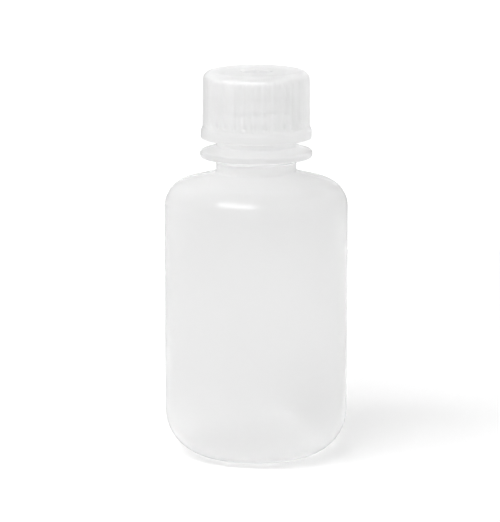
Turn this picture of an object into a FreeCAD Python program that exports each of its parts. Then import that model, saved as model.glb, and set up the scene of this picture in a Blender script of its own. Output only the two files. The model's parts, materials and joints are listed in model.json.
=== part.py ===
import FreeCAD, Part
import math
import os

# Small narrow-mouth bottle of translucent plastic with a screw cap and a sealing disc.
# Millimetres. +Z is up along the bottle's axis; the origin is the centre of the standing face.

# Bottle body
body_radius = 25.0
base_corner_radius = 12.45
straight_wall_top = 69.1
shoulder_radius = 7.35
shoulder_slope = math.radians(14.8)
body_wall = 1.3

# Raised centre of the base
push_up_height = 1.6
push_up_flat_radius = 6.0
standing_face_inner_radius = 10.6

# Neck, carrying the ring and the thread
neck_radius = 10.9
bore_radius = 8.7
mouth_height = 103.5
lip_rounding = 0.45
neck_root_rounding = 0.6
bore_entry_rounding = 2.5

# Lens-shaped ring round the neck
ring_radius = 15.25
ring_height = 83.55
ring_root_thickness = 4.35
ring_rim_thickness = 1.7
ring_rim_rounding = 0.7

# Single-start right-hand thread: the ridge on the neck and the ridge inside the cap
thread_pitch = 3.6
thread_embedding = 0.4
thread_run_out = math.radians(40)
neck_ridge_height = 1.05
neck_ridge_root_width = 1.9
neck_ridge_crest_width = 0.9
neck_ridge_start_angle = math.radians(135)
neck_ridge_start_height = 91.2
neck_ridge_turns = 2.6
cap_ridge_height = 1.05
cap_ridge_root_width = 1.6
cap_ridge_crest_width = 0.8
cap_ridge_drop = 1.45
cap_ridge_first_turn = 0.35
cap_ridge_turns = 2.35
crest_bulge = 0.08
sections_per_turn = 24

# Cap
cap_bottom = 87.8
cap_top = 106.1
cap_radius_bottom = 14.54
cap_radius_top = 14.43
cap_corner_radius = 2.4
cap_inner_radius = 12.3
bead_radius = 15.05
bead_top = 90.0
bead_chamfer = 1.0
bead_rounding = 0.35
rim_lead_in = 0.7
dimple_radius = 4.6
dimple_depth = 0.35
dimple_slope_width = 1.0
gate_radius = 0.7
gate_height = 0.15

# Grip ribs, left between shallow round grooves cut down the cap's wall
groove_count = 33
groove_cutter_radius = 1.1
groove_depth = 0.28

# Sealing disc between the cap's top and the mouth
liner_radius = 11.6
liner_thickness = 1.0
liner_edge_rounding = 0.2

axis_start = FreeCAD.Vector(0, 0, 0)
axis_direction = FreeCAD.Vector(0, 0, 1)


def rounded_outline(corners):
    """Closed wire in the XZ plane through (radius, height, rounding) corners, rounded by tangent arcs."""
    edges = []
    entries = []
    exits = []
    count = len(corners)
    for i in range(count):
        corner = FreeCAD.Vector(corners[i][0], 0, corners[i][1])
        before = FreeCAD.Vector(corners[i - 1][0], 0, corners[i - 1][1])
        after = FreeCAD.Vector(corners[(i + 1) % count][0], 0, corners[(i + 1) % count][1])
        rounding = corners[i][2]
        if rounding == 0:
            entries.append(corner)
            exits.append(corner)
            continue
        back = (before - corner).normalize()
        ahead = (after - corner).normalize()
        half_angle = back.getAngle(ahead) / 2
        setback = rounding / math.tan(half_angle)
        entry = corner + back * setback
        leave = corner + ahead * setback
        bisector = (back + ahead).normalize()
        middle = corner + bisector * (rounding / math.sin(half_angle) - rounding)
        edges.append((i, Part.Arc(entry, middle, leave).toShape()))
        entries.append(entry)
        exits.append(leave)
    arcs = dict(edges)
    outline = []
    for i in range(count):
        if i in arcs:
            outline.append(arcs[i])
        following = (i + 1) % count
        if exits[i].distanceToPoint(entries[following]) > 1e-6:
            outline.append(Part.LineSegment(exits[i], entries[following]).toShape())
    return Part.Wire(outline)


def turned(corners):
    """Solid of revolution about the bottle's axis from an outline of (radius, height, rounding) corners."""
    return Part.Face(rounded_outline(corners)).revolve(axis_start, axis_direction, 360)


def ridge_section(angle, height, embedded_radius, crest_radius, root_width, crest_width, bulge):
    """Closed wire across a thread ridge, standing in the plane through the axis at that angle."""
    outward = FreeCAD.Vector(math.cos(angle), math.sin(angle), 0)
    up = axis_direction * height
    low_root = outward * embedded_radius + up - axis_direction * root_width / 2
    high_root = outward * embedded_radius + up + axis_direction * root_width / 2
    low_crest = outward * crest_radius + up - axis_direction * crest_width / 2
    high_crest = outward * crest_radius + up + axis_direction * crest_width / 2
    crest_middle = outward * (crest_radius + bulge) + up
    return Part.Wire([
        Part.LineSegment(low_root, low_crest).toShape(),
        Part.Arc(low_crest, crest_middle, high_crest).toShape(),
        Part.LineSegment(high_crest, high_root).toShape(),
        Part.LineSegment(high_root, low_root).toShape(),
    ])


def thread_ridge(wall_radius, height_of_ridge, start_angle, start_height, turns, root_width, crest_width):
    """Helical ridge on a wall, sunk into it at both ends. A negative height makes it stand inwards."""
    side = math.copysign(1, height_of_ridge)
    embedded_radius = wall_radius - side * thread_embedding
    sunk_radius = wall_radius - side * thread_embedding / 2
    count = round(turns * sections_per_turn)
    sections = []
    for i in range(count + 1):
        turned_by = 2 * math.pi * turns * i / count
        from_end = min(turned_by, 2 * math.pi * turns - turned_by)
        share = min(1, from_end / thread_run_out)
        rise = share * share * (3 - 2 * share)
        crest_radius = sunk_radius + (wall_radius + height_of_ridge - sunk_radius) * rise
        sections.append(ridge_section(
            start_angle + turned_by,
            start_height + thread_pitch * turned_by / (2 * math.pi),
            embedded_radius,
            crest_radius,
            root_width,
            crest_width,
            side * crest_bulge,
        ))
    return Part.makeLoft(sections, True, False)


def make_bottle():
    slope = math.tan(shoulder_slope)
    wall_to_cone = (math.pi / 2 - shoulder_slope) / 2
    outer_shoulder = straight_wall_top + shoulder_radius * math.tan(wall_to_cone)
    outer_neck_root = outer_shoulder + slope * (body_radius - neck_radius)
    inner_radius = body_radius - body_wall
    inner_shoulder = outer_shoulder + slope * body_wall - body_wall / math.cos(shoulder_slope)
    inner_neck_root = inner_shoulder + slope * (inner_radius - bore_radius)
    ring_root_bottom = ring_height - ring_root_thickness / 2
    ring_root_top = ring_height + ring_root_thickness / 2
    body = turned([
        (0, push_up_height, 0),
        (push_up_flat_radius, push_up_height, 6),
        (standing_face_inner_radius, 0, 1),
        (body_radius, 0, base_corner_radius),
        (body_radius, outer_shoulder, shoulder_radius),
        (neck_radius, outer_neck_root, neck_root_rounding),
        (neck_radius, ring_root_bottom, 0.4),
        (ring_radius, ring_height - ring_rim_thickness / 2, ring_rim_rounding),
        (ring_radius, ring_height + ring_rim_thickness / 2, ring_rim_rounding),
        (neck_radius, ring_root_top, 0.4),
        (neck_radius, mouth_height, lip_rounding),
        (bore_radius, mouth_height, lip_rounding),
        (bore_radius, inner_neck_root, bore_entry_rounding),
        (inner_radius, inner_shoulder, shoulder_radius - body_wall),
        (inner_radius, body_wall, base_corner_radius - body_wall),
        (standing_face_inner_radius, body_wall, 1),
        (push_up_flat_radius, push_up_height + body_wall, 6),
        (0, push_up_height + body_wall, 0),
    ])
    ridge = thread_ridge(
        neck_radius,
        neck_ridge_height,
        neck_ridge_start_angle,
        neck_ridge_start_height,
        neck_ridge_turns,
        neck_ridge_root_width,
        neck_ridge_crest_width,
    )
    return body.fuse(ridge)


def make_screw_cap():
    liner_seat = mouth_height + liner_thickness
    dimple_floor = cap_top - dimple_depth
    shell = turned([
        (0, dimple_floor + gate_height, 0),
        (gate_radius, dimple_floor + gate_height, 0.1),
        (gate_radius, dimple_floor, 0),
        (dimple_radius - dimple_slope_width, dimple_floor, 0.8),
        (dimple_radius, cap_top, 0.8),
        (cap_radius_top, cap_top, cap_corner_radius),
        (cap_radius_bottom, bead_top + bead_chamfer, 0.4),
        (bead_radius, bead_top, bead_rounding),
        (bead_radius, cap_bottom, bead_rounding),
        (cap_inner_radius + rim_lead_in, cap_bottom, 0.25),
        (cap_inner_radius, cap_bottom + rim_lead_in, 0.25),
        (cap_inner_radius, liner_seat, 0.4),
        (0, liner_seat, 0),
    ])
    cutter_distance = cap_radius_bottom - groove_depth + groove_cutter_radius
    groove_bottom = bead_top + bead_chamfer + groove_cutter_radius
    cutters = []
    for i in range(groove_count):
        angle = 2 * math.pi * (i + 0.5) / groove_count
        foot = FreeCAD.Vector(
            cutter_distance * math.cos(angle), cutter_distance * math.sin(angle), groove_bottom)
        bar = Part.makeCylinder(groove_cutter_radius, cap_top - groove_bottom, foot)
        ball = Part.makeSphere(groove_cutter_radius, foot)
        cutters.append(bar.fuse(ball))
    turns_before = cap_ridge_first_turn
    ridge = thread_ridge(
        cap_inner_radius,
        -cap_ridge_height,
        neck_ridge_start_angle + 2 * math.pi * turns_before,
        neck_ridge_start_height + thread_pitch * turns_before - cap_ridge_drop,
        cap_ridge_turns,
        cap_ridge_root_width,
        cap_ridge_crest_width,
    )
    return shell.cut(Part.makeCompound(cutters)).fuse(ridge)


def make_cap_liner():
    return turned([
        (0, mouth_height, 0),
        (liner_radius, mouth_height, liner_edge_rounding),
        (liner_radius, mouth_height + liner_thickness, liner_edge_rounding),
        (0, mouth_height + liner_thickness, 0),
    ])


os.makedirs("parts", exist_ok=True)
nodes = {
    "bottle": make_bottle,
    "screw_cap": make_screw_cap,
    "cap_liner": make_cap_liner,
}
for name, make in nodes.items():
    solid = make().removeSplitter()
    solid.exportStep("parts/" + name + ".step")
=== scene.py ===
import json
import math
import bpy
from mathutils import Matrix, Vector, noise


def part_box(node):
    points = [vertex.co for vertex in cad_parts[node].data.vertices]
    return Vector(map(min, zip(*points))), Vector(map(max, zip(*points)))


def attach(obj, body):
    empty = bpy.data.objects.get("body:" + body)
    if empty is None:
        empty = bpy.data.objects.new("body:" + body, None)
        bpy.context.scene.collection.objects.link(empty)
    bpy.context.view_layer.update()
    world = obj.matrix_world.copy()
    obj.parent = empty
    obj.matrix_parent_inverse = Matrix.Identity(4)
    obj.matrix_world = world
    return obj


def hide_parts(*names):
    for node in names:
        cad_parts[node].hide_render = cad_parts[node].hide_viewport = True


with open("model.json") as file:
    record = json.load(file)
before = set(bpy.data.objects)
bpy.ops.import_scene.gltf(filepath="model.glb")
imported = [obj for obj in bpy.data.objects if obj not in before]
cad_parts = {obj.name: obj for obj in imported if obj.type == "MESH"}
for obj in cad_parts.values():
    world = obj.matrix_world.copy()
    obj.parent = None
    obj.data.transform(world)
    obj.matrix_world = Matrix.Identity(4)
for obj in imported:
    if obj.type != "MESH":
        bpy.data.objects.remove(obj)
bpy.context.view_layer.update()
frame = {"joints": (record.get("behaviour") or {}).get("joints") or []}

# A small bottle of milky translucent plastic, its screw cap and the sealing disc under the cap,
# standing on a white table. Shapes are in millimetres until their vertices are made, in metres.

MM = 0.001
FULL_TURN = 2 * math.pi

# Sizes that the CAD nodes and joints give
bottle_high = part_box("bottle")[1]
cap_low, cap_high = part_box("screw_cap")
liner_low, liner_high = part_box("cap_liner")
body_radius = bottle_high.x / MM
mouth_height = bottle_high.z / MM
cap_bottom = cap_low.z / MM
cap_top = cap_high.z / MM
bead_radius = cap_high.x / MM
liner_bottom = liner_low.z / MM
liner_top = liner_high.z / MM
liner_radius = liner_high.x / MM
joints = {joint["name"]: joint for joint in frame["joints"]}
thread_pitch = joints["cap_lift"]["range_m"][1] / MM / (joints["cap_turn"]["range_deg"][1] / 360)

# Body
base_corner_radius = 12.45
straight_wall_top = 69.1
shoulder_radius = 7.35
shoulder_slope = math.radians(14.8)
body_wall = 1.3
push_up_height = 1.6
push_up_flat_radius = 6.0
standing_face_inner_radius = 10.6

# Neck and its ring
neck_radius = 10.9
bore_radius = 8.7
ring_radius = 15.25
ring_height = 83.55
ring_root_thickness = 4.35
ring_rim_thickness = 1.7

# Cap
cap_radius_bottom = 14.54
cap_radius_top = 14.43
cap_corner_radius = 2.4
cap_inner_radius = 12.3
bead_top = 90.0
bead_chamfer = 1.0
rim_lead_in = 0.7
dimple_radius = 4.6
dimple_depth = 0.35
dimple_slope_width = 1.0
gate_radius = 0.7
gate_height = 0.15
gate_slope_width = 0.1
rib_count = 33
groove_cutter_radius = 1.1
groove_depth = 0.28
rib_edge_rounding = 0.12

# Threads: start angle, start height, turns, ridge height, width at the root, width at the crest.
# The cap's starts part of a turn further on, and its ridges lie just under the bottle's.
thread_zone_bottom = 88
thread_height = 1.05
thread_run_out = math.radians(40)
neck_thread_angle = math.radians(135)
neck_thread_bottom = 91.2
cap_thread_ahead = 0.35
cap_thread_drop = 1.45
neck_thread = (neck_thread_angle, neck_thread_bottom, 2.6, thread_height, 1.9, 0.9)
cap_thread = (
    neck_thread_angle + FULL_TURN * cap_thread_ahead,
    neck_thread_bottom + thread_pitch * cap_thread_ahead - cap_thread_drop,
    2.35, thread_height, 1.6, 0.8,
)

# Marks of moulding: the seam down both sides, and the unevenness of the blown wall, which
# fades out at the base and the shoulder
seam_height = 0.05
seam_width = 0.22
seam_end_radius = 3
wall_unevenness = 0.05
uneven_bottom = 3
uneven_bottom_fade = 10
uneven_top = 76
uneven_top_fade = 8
uneven_waves = 1.3
uneven_wave_height = 18

# Meshes: the gap keeps the liner's faces off the cap's and the bottle's, and the seam columns are
# angles from a seam where extra columns of vertices stand
contact_gap = 0.03
arc_step = math.radians(7.5)
thread_rows_per_turn = 20
bottle_columns = 220
columns_per_rib = 12
liner_columns = 160
seam_columns = (0.0015, 0.003, 0.005, 0.008, 0.012, 0.017)
tolerance = 0.01


def smooth(share):
    share = min(max(share, 0), 1)
    return share * share * (3 - 2 * share)


def rounded_outline(corners):
    """Points along an open outline of (radius, height, rounding, spacing) corners, in millimetres.

    The rounding is a tangent arc, and the spacing is that of the points on the straight run after
    the corner, or 0 for a run with no points of its own."""
    points = []
    last_spacing = 0
    for i, (radius, height, rounding, spacing) in enumerate(corners):
        corner = Vector((radius, height))
        arc = [corner]
        if rounding > 0:
            back = (Vector(corners[i - 1][:2]) - corner).normalized()
            ahead = (Vector(corners[i + 1][:2]) - corner).normalized()
            half_angle = back.angle(ahead) / 2
            centre = corner + (back + ahead).normalized() * (rounding / math.sin(half_angle))
            start = corner + back * (rounding / math.tan(half_angle)) - centre
            turn = math.pi - 2 * half_angle
            side = math.copysign(1, back.x * ahead.y - back.y * ahead.x)
            steps = max(3, math.ceil(turn / arc_step))
            arc = []
            for step in range(steps + 1):
                angle = -side * turn * step / steps
                arc.append(centre + Vector((
                    start.x * math.cos(angle) - start.y * math.sin(angle),
                    start.x * math.sin(angle) + start.y * math.cos(angle),
                )))
        if points and last_spacing > 0:
            run = arc[0] - points[-1]
            pieces = math.ceil(run.length / last_spacing)
            run_start = points[-1]
            for piece in range(1, pieces):
                points.append(run_start + run * piece / pieces)
        points.extend(arc)
        last_spacing = spacing
    return points


def ridge(thread, angle, height):
    """How far a thread's ridge stands out at that angle and height."""
    start_angle, start_height, turns, ridge_height, root_width, crest_width = thread
    turned = (angle - start_angle) % FULL_TURN
    while turned < FULL_TURN * turns:
        off = abs(height - start_height - thread_pitch * turned / FULL_TURN)
        if off < root_width / 2:
            from_end = min(turned, FULL_TURN * turns - turned)
            flank = (root_width / 2 - off) / ((root_width - crest_width) / 2)
            return ridge_height * smooth(from_end / thread_run_out) * smooth(flank)
        turned += FULL_TURN
    return 0


def thread_columns(thread, angles, start, end):
    """For each angle, the thread's rows between two heights, as (row number, height) in travel order."""
    start_angle, start_height = thread[:2]
    spacing = thread_pitch / thread_rows_per_turn
    low = min(start, end) + spacing / 3
    high = max(start, end) - spacing / 3
    columns = []
    for angle in angles:
        zero = start_height + thread_pitch * (angle - start_angle) / FULL_TURN
        first = math.ceil((low - zero) / spacing)
        last = math.floor((high - zero) / spacing)
        rows = [(row, zero + row * spacing) for row in range(first, last + 1)]
        columns.append(rows if end > start else rows[::-1])
    return columns


def longest_upright_step(outline):
    """Number of the outline's point that its longest step straight up or down starts from."""
    lengths = [
        abs(after.y - before.y) if abs(after.x - before.x) < tolerance else 0
        for before, after in zip(outline, outline[1:])
    ]
    return lengths.index(max(lengths))


def band(low, high):
    """Faces between two rings of vertices. A ring on the axis is one vertex, repeated."""
    faces = []
    for j in range(len(low)):
        following = (j + 1) % len(low)
        corners = [low[j], low[following], high[following], high[j]]
        faces.append([vertex for k, vertex in enumerate(corners) if vertex != corners[k - 1]])
    return faces


def strip(left, right):
    """Faces between two columns of numbered vertices, which are joined where they share a number."""
    left_keys = list(left)
    right_keys = list(right)
    shared = [key for key in left_keys if key in right]
    faces = []
    for low, high in zip(shared, shared[1:]):
        left_part = left_keys[left_keys.index(low):left_keys.index(high) + 1]
        right_part = right_keys[right_keys.index(low):right_keys.index(high) + 1]
        up_the_right = [right[key] for key in right_part]
        down_the_left = [left[key] for key in left_part[:0:-1]]
        faces.append([left[low]] + up_the_right + down_the_left)
    return faces


def turned_mesh(name, outline, angles, shape, thread=None):
    """Closed mesh turned about the bottle's axis from an outline that starts and ends on the axis.

    shape gives (radius, height) from an angle, the point's number, its place and its normal. The
    outline's longest upright step is filled with rows that follow the thread's helix, if there is
    one."""
    vertices = []
    faces = []
    rings = []
    count = len(angles)

    def add_vertex(number, angle, place):
        before = outline[max(number - 1, 0)]
        after = outline[min(number + 1, len(outline) - 1)]
        along = (after - before).normalized()
        radius, height = shape(angle, number, place, Vector((along.y, -along.x)))
        vertices.append((radius * math.cos(angle) * MM, radius * math.sin(angle) * MM, height * MM))
        return len(vertices) - 1

    for number, place in enumerate(outline):
        if place.x < tolerance:
            vertices.append((0, 0, place.y * MM))
            rings.append([len(vertices) - 1] * count)
        else:
            rings.append([add_vertex(number, angle, place) for angle in angles])
    threaded = longest_upright_step(outline) if thread else None
    for number in range(len(outline) - 1):
        if number != threaded:
            faces.extend(band(rings[number], rings[number + 1]))
    if thread:
        wall = outline[threaded].x
        columns = []
        rows_by_angle = thread_columns(thread, angles, outline[threaded].y, outline[threaded + 1].y)
        for j, rows in enumerate(rows_by_angle):
            column = {"start": rings[threaded][j]}
            for row, height in rows:
                column[row] = add_vertex(threaded, angles[j], Vector((wall, height)))
            column["end"] = rings[threaded + 1][j]
            columns.append(column)
        # Back at the first angle, a full turn on, the same rows have numbers one turn lower
        columns.append({
            key if isinstance(key, str) else key - thread_rows_per_turn: vertex
            for key, vertex in columns[0].items()
        })
        for left, right in zip(columns, columns[1:]):
            faces.extend(strip(left, right))
    mesh = bpy.data.meshes.new(name)
    mesh.from_pydata(vertices, [], faces)
    mesh.shade_smooth()
    piece = bpy.data.objects.new(name, mesh)
    bpy.context.scene.collection.objects.link(piece)
    return piece


def even_angles(count):
    return [FULL_TURN * i / count for i in range(count)]


def seamed_angles(count):
    """Angles round the axis, closer together at the mould seams at 0 and 180 degrees."""
    angles = set(even_angles(count))
    for seam in (0, math.pi):
        for off in seam_columns:
            angles.add((seam + off) % FULL_TURN)
            angles.add((seam - off) % FULL_TURN)
    return sorted(angles)


def make_bottle():
    slope = math.tan(shoulder_slope)
    wall_to_cone = (math.pi / 2 - shoulder_slope) / 2
    outer_shoulder = straight_wall_top + shoulder_radius * math.tan(wall_to_cone)
    outer_neck_root = outer_shoulder + slope * (body_radius - neck_radius)
    inner_radius = body_radius - body_wall
    inner_shoulder = outer_shoulder + slope * body_wall - body_wall / math.cos(shoulder_slope)
    inner_neck_root = inner_shoulder + slope * (inner_radius - bore_radius)
    outline = rounded_outline([
        (0, push_up_height, 0, 1.5),
        (push_up_flat_radius, push_up_height, 6, 0),
        (standing_face_inner_radius, 0, 1, 0),
        (body_radius, 0, base_corner_radius, 2),
        (body_radius, outer_shoulder, shoulder_radius, 1),
        (neck_radius, outer_neck_root, 0.6, 1),
        (neck_radius, ring_height - ring_root_thickness / 2, 0.4, 0.5),
        (ring_radius, ring_height - ring_rim_thickness / 2, 0.7, 0.5),
        (ring_radius, ring_height + ring_rim_thickness / 2, 0.7, 0.5),
        (neck_radius, ring_height + ring_root_thickness / 2, 0.4, 0),
        (neck_radius, mouth_height, 0.45, 0.3),
        (bore_radius, mouth_height, 0.45, 1),
        (bore_radius, inner_neck_root, 2.5, 1),
        (inner_radius, inner_shoulder, shoulder_radius - body_wall, 2),
        (inner_radius, body_wall, base_corner_radius - body_wall, 0),
        (standing_face_inner_radius, body_wall, 1, 0),
        (push_up_flat_radius, push_up_height + body_wall, 6, 1.5),
        (0, push_up_height + body_wall, 0, 0),
    ])
    lip = max(range(len(outline)), key=lambda number: outline[number].y)

    def shape(angle, number, place, normal):
        fade_in = smooth((place.y - uneven_bottom) / uneven_bottom_fade)
        fade_out = smooth((uneven_top - place.y) / uneven_top_fade)
        wave = noise.noise(Vector((
            math.cos(angle) * uneven_waves, math.sin(angle) * uneven_waves, place.y / uneven_wave_height,
        )))
        relief = -wall_unevenness * fade_in * fade_out * (0.5 + 0.5 * wave)
        if number <= lip:
            across = place.x * math.sin(angle)
            seam = math.exp(-(across / seam_width) ** 2)
            relief += seam_height * (seam - 1) * smooth(place.x / seam_end_radius)
            if place.y > thread_zone_bottom:
                relief += ridge(neck_thread, angle, place.y)
        return place + normal * relief

    return turned_mesh("bottle_shell", outline, seamed_angles(bottle_columns), shape, neck_thread)


def groove_floor(angle, height):
    """Distance from the axis to the bottom of the grip groove at that angle and height, if it has one."""
    pitch = FULL_TURN / rib_count
    off = (angle % pitch) - pitch / 2
    cutter_distance = cap_radius_bottom - groove_depth + groove_cutter_radius
    groove_bottom = bead_top + bead_chamfer + groove_cutter_radius
    below = max(groove_bottom - height, 0)
    reach = groove_cutter_radius ** 2 - below ** 2 - (cutter_distance * math.sin(off)) ** 2
    if reach <= 0:
        return None
    return cutter_distance * math.cos(off) - math.sqrt(reach)


def make_cap():
    dimple_floor = cap_top - dimple_depth
    outline = rounded_outline([
        (0, liner_top, 0, 2),
        (cap_inner_radius, liner_top, 0.4, 0),
        (cap_inner_radius, cap_bottom + rim_lead_in, 0.25, 0.3),
        (cap_inner_radius + rim_lead_in, cap_bottom, 0.25, 0.5),
        (bead_radius, cap_bottom, 0.35, 0.5),
        (bead_radius, bead_top, 0.35, 0.3),
        (cap_radius_bottom, bead_top + bead_chamfer, 0.4, 0.3),
        (cap_radius_top, cap_top, cap_corner_radius, 1.2),
        (dimple_radius, cap_top, 0.8, 0.5),
        (dimple_radius - dimple_slope_width, dimple_floor, 0.8, 0.6),
        (gate_radius + gate_slope_width, dimple_floor, 0.08, 0.2),
        (gate_radius, dimple_floor + gate_height, 0.1, 0.2),
        (0, dimple_floor + gate_height, 0, 0),
    ])
    outer_wall_radius = 14

    def shape(angle, number, place, normal):
        inside = abs(place.x - cap_inner_radius) < tolerance
        radius, height = place + normal * (ridge(cap_thread, angle, place.y) if inside else 0)
        faces_out = normal.x > 0.1 and radius > outer_wall_radius
        floor = groove_floor(angle, height) if faces_out else None
        if floor is not None:
            over = radius - floor
            rounded = math.sqrt(over ** 2 + rib_edge_rounding ** 2)
            radius -= (over + rounded) / 2 - rib_edge_rounding / 2
        return radius, height

    return turned_mesh("cap_shell", outline, even_angles(rib_count * columns_per_rib), shape, cap_thread)


def make_liner():
    outline = rounded_outline([
        (0, liner_bottom + contact_gap, 0, 1),
        (liner_radius, liner_bottom + contact_gap, 0.2, 0.2),
        (liner_radius, liner_top - contact_gap, 0.2, 1),
        (0, liner_top - contact_gap, 0, 0),
    ])

    def shape(angle, number, place, normal):
        return place

    return turned_mesh("liner_disc", outline, even_angles(liner_columns), shape)


def node_adder(tree):
    """A function that adds a node to the tree and gives one of its outputs.

    Its sockets are set to numbers, or joined to the outputs of other nodes."""
    def add(kind, inputs, output=0, **settings):
        node = tree.nodes.new(kind)
        for setting, value in settings.items():
            setattr(node, setting, value)
        for socket, value in inputs.items():
            if isinstance(value, bpy.types.NodeSocket):
                tree.links.new(value, node.inputs[socket])
            else:
                node.inputs[socket].default_value = value
        return node.outputs[output]

    return add


# Numbers that the three plastics share. The noise stays mostly between its low and high.
noise_low = 0.3
noise_high = 0.7
cloud_scale = 60
cloud_darkest = 0.992
roughness_spread = 0.06
coat_roughness = 0.1


def milky_plastic(
    name, greys_and_painted_light, roughness, haze, clear, ior, specular, coat, grain_size, grain_depth, grain_strength,
    painted_shade=None,
):
    """Plastic that lets light through as a haze, under a thin gloss.

    The greys are (height in millimetres, grey) from low to high, and on the bottle and cap they are
    partly painted light, lighter or darker by height to even out shade. Grey and roughness vary a little
    over the surface, and a fine grain, whose size and depth are in metres, roughens it. The shade above a
    height is painted shade, darker by distance from the axis: (height, inner radius, its shade, outer
    radius, its shade)."""
    material = bpy.data.materials.new(name)
    material.use_nodes = True
    tree = material.node_tree
    add = node_adder(tree)

    place = add("ShaderNodeTexCoord", {}, "Object")
    cloud = add("ShaderNodeTexNoise", {"Vector": place, "Scale": cloud_scale, "Detail": 3})
    grain = add("ShaderNodeTexNoise", {"Vector": place, "Scale": 1 / grain_size, "Detail": 1})
    height = add("ShaderNodeSeparateXYZ", {"Vector": place}, "Z")
    share = add("ShaderNodeMapRange", {"Value": height, "From Max": cap_top * MM})
    grey_and_painted_light_by_height = add("ShaderNodeValToRGB", {"Fac": share})
    ramp = grey_and_painted_light_by_height.node.color_ramp
    ramp.interpolation = "EASE"
    # The greys replace the new ramp's own two stops. It can't be left with none, so the first goes last.
    ramp.elements.remove(ramp.elements[1])
    for at, grey in greys_and_painted_light:
        ramp.elements.new(at / cap_top).color = (grey, grey, grey, 1)
    ramp.elements.remove(ramp.elements[0])
    stain = add("ShaderNodeMapRange", {
        "Value": cloud, "From Min": noise_low, "From Max": noise_high, "To Min": cloud_darkest,
    })
    colour = add("ShaderNodeVectorMath", {0: grey_and_painted_light_by_height, 1: stain}, operation="MULTIPLY")
    # Painted shade: the colour is darkened above a height by distance from the axis
    if painted_shade:
        above, inner_radius, inner_shade, outer_radius, outer_shade = painted_shade
        sideways = add("ShaderNodeVectorMath", {0: place, 1: (1, 1, 0)}, operation="MULTIPLY")
        distance = add("ShaderNodeVectorMath", {0: sideways}, "Value", operation="LENGTH")
        shade_by_radius = add("ShaderNodeMapRange", {
            "Value": distance, "From Min": inner_radius * MM, "From Max": outer_radius * MM,
            "To Min": inner_shade, "To Max": outer_shade,
        })
        reached = add("ShaderNodeMath", {0: height, 1: above * MM}, operation="GREATER_THAN")
        painted_shade_above = add("ShaderNodeMapRange", {"Value": reached, "To Min": 1, "To Max": shade_by_radius})
        colour = add("ShaderNodeVectorMath", {0: colour, 1: painted_shade_above}, operation="MULTIPLY")
    satin = add("ShaderNodeMapRange", {
        "Value": grain, "From Min": noise_low, "From Max": noise_high,
        "To Min": roughness * (1 - roughness_spread), "To Max": roughness * (1 + roughness_spread),
    })
    normal = add("ShaderNodeBump", {
        "Strength": grain_strength, "Distance": grain_depth, "Height": grain,
    })
    skin = tree.nodes["Principled BSDF"]
    skin.inputs["IOR"].default_value = ior
    skin.inputs["Transmission Weight"].default_value = clear
    skin.inputs["Coat Weight"].default_value = coat
    skin.inputs["Specular IOR Level"].default_value = specular
    skin.inputs["Coat Roughness"].default_value = coat_roughness
    tree.links.new(colour, skin.inputs["Base Color"])
    tree.links.new(satin, skin.inputs["Roughness"])
    tree.links.new(normal, skin.inputs["Normal"])
    through = add("ShaderNodeBsdfTranslucent", {"Color": colour, "Normal": normal})
    surface = add("ShaderNodeMixShader", {"Fac": haze, 1: skin.outputs[0], 2: through})
    tree.links.new(surface, tree.nodes["Material Output"].inputs["Surface"])
    return material


bottle = make_bottle()
bottle.data.materials.append(milky_plastic(
    "bottle_plastic",
    # Painted light: the greys are lighter at the base and on the neck, and vary up the body, to even out
    # shade that falls there
    greys_and_painted_light=(
        (2, 0.968), (20, 0.918), (42, 0.931), (54, 0.936), (66, 0.959), (80, 0.952), (86, 0.952),
        (90, 0.998),
    ),
    roughness=0.35,
    haze=0.17,
    clear=0.97,
    ior=1.1,
    specular=0.5,
    coat=0.42,
    grain_size=0.0012,
    grain_depth=0.0002,
    grain_strength=0.02,
    # Painted shade: the neck thread's ridges are darker, to show as dark bands through the cap
    painted_shade=(thread_zone_bottom, neck_radius, 1, neck_radius + thread_height, 0.83),
))
cap = make_cap()
cap.data.materials.append(milky_plastic(
    "cap_plastic",
    # Painted light: the cap's top is set a little darker than its side, for how light falls on it
    greys_and_painted_light=((102, 0.997), (105, 0.992)),
    roughness=0.3,
    haze=0.1,
    clear=1,
    ior=1.12,
    specular=0,
    coat=0.08,
    grain_size=0.0012,
    grain_depth=0.0002,
    grain_strength=0.02,
    # Painted shade: a darker disc in the top's dimple, where the recess is shaded
    painted_shade=(cap_top - 1, dimple_radius - 1.6, 0.9, dimple_radius, 1),
))
liner = make_liner()
liner.data.materials.append(milky_plastic(
    "liner_foam",
    greys_and_painted_light=((100, 0.875),),
    roughness=0.7,
    haze=0.3,
    clear=0,
    ior=1.5,
    specular=0.5,
    coat=0,
    grain_size=0.0004,
    grain_depth=0.0002,
    grain_strength=0.4,
))
for piece, node, body, slot in (
    (bottle, "bottle", "bottle", "bottle_plastic"),
    (cap, "screw_cap", "cap", "cap_plastic"),
    (liner, "cap_liner", "liner", "liner_foam"),
):
    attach(piece, body)
    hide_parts(node)

# White table, glowing a little as a light table does, a hair below the bottle's standing face
table_reach = 0.3
table_height = -0.00005
table_grey = 0.53
table_glow = 0.32
table_corners = [
    (x * table_reach, y * table_reach, table_height) for x, y in ((-1, -1), (1, -1), (1, 1), (-1, 1))
]
table_mesh = bpy.data.meshes.new("table")
table_mesh.from_pydata(table_corners, [], [(0, 1, 2, 3)])
table = bpy.data.objects.new("table", table_mesh)
bpy.context.scene.collection.objects.link(table)
table_material = bpy.data.materials.new("table_white")
table_material.use_nodes = True
table_shader = table_material.node_tree.nodes["Principled BSDF"]
table_shader.inputs["Base Color"].default_value = (table_grey, table_grey, table_grey, 1)
table_shader.inputs["Roughness"].default_value = 0.8
table_shader.inputs["Specular IOR Level"].default_value = 0.2
table_shader.inputs["Emission Color"].default_value = (1, 1, 1, 1)
table_shader.inputs["Emission Strength"].default_value = table_glow
table_mesh.materials.append(table_material)

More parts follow.
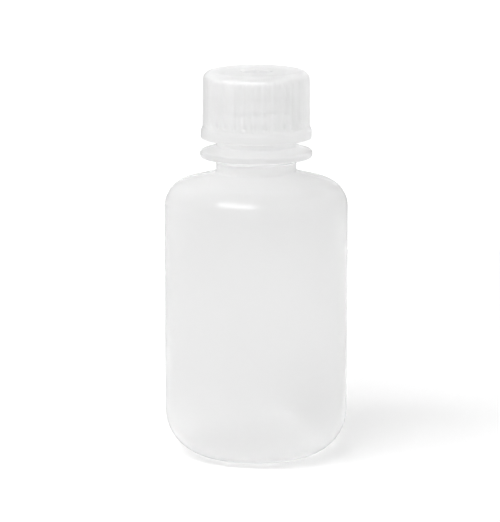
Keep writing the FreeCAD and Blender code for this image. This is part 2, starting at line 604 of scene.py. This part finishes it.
# Studio: a white surround whose light falls off from left to right, and which is seen as plain white
light_from_left = 0.97
light_from_right = 0.56
seen_strength = 1.1
world = bpy.data.worlds.new("studio")
world.use_nodes = True
add = node_adder(world.node_tree)
direction = add("ShaderNodeTexCoord", {}, "Generated")
sideways = add("ShaderNodeSeparateXYZ", {"Vector": direction}, "X")
lighting = add("ShaderNodeMapRange", {
    "Value": sideways, "From Min": -1, "To Min": light_from_left, "To Max": light_from_right,
})
seen = add("ShaderNodeLightPath", {}, "Is Camera Ray")
strength = add("ShaderNodeMapRange", {"Value": seen, "To Min": lighting, "To Max": seen_strength})
background = world.node_tree.nodes["Background"]
background.inputs["Color"].default_value = (1, 1, 1, 1)
world.node_tree.links.new(strength, background.inputs["Strength"])
bpy.context.scene.world = world


def aimed(name, data, target, azimuth, elevation, distance):
    """Lamp or camera that looks at target. Azimuth 0 is in front and grows to the right, in degrees."""
    a = math.radians(azimuth)
    e = math.radians(elevation)
    away = Vector((math.sin(a) * math.cos(e), -math.cos(a) * math.cos(e), math.sin(e)))
    holder = bpy.data.objects.new(name, data)
    holder.location = target + away * distance
    holder.rotation_euler = away.to_track_quat("Z", "Y").to_euler()
    bpy.context.scene.collection.objects.link(holder)
    return holder


# One large soft lamp, high on the left in front
lamp_data = bpy.data.lights.new("key", "AREA")
lamp_data.shape = "RECTANGLE"
lamp_data.size = 2.2
lamp_data.size_y = 1.05
lamp_data.energy = 80
aimed("key", lamp_data, target=Vector((0, 0, 0.05)), azimuth=-36, elevation=53, distance=3)

# Light crosses the hollow, milky walls many times before it comes out
light_paths = bpy.context.scene.cycles
bounces = 32
light_paths.max_bounces = bounces
light_paths.diffuse_bounces = bounces
light_paths.transmission_bounces = bounces
light_paths.glossy_bounces = bounces
light_paths.blur_glossy = 0

camera_data = bpy.data.cameras.new("camera")
camera_data.lens = 230.6
camera_data.sensor_width = 36
bpy.context.scene.camera = aimed(
    "camera", camera_data, target=Vector((-0.0017, 0, 0.0536)), azimuth=0, elevation=10.94, distance=0.9156)
bpy.context.scene.view_settings.view_transform = "Standard"
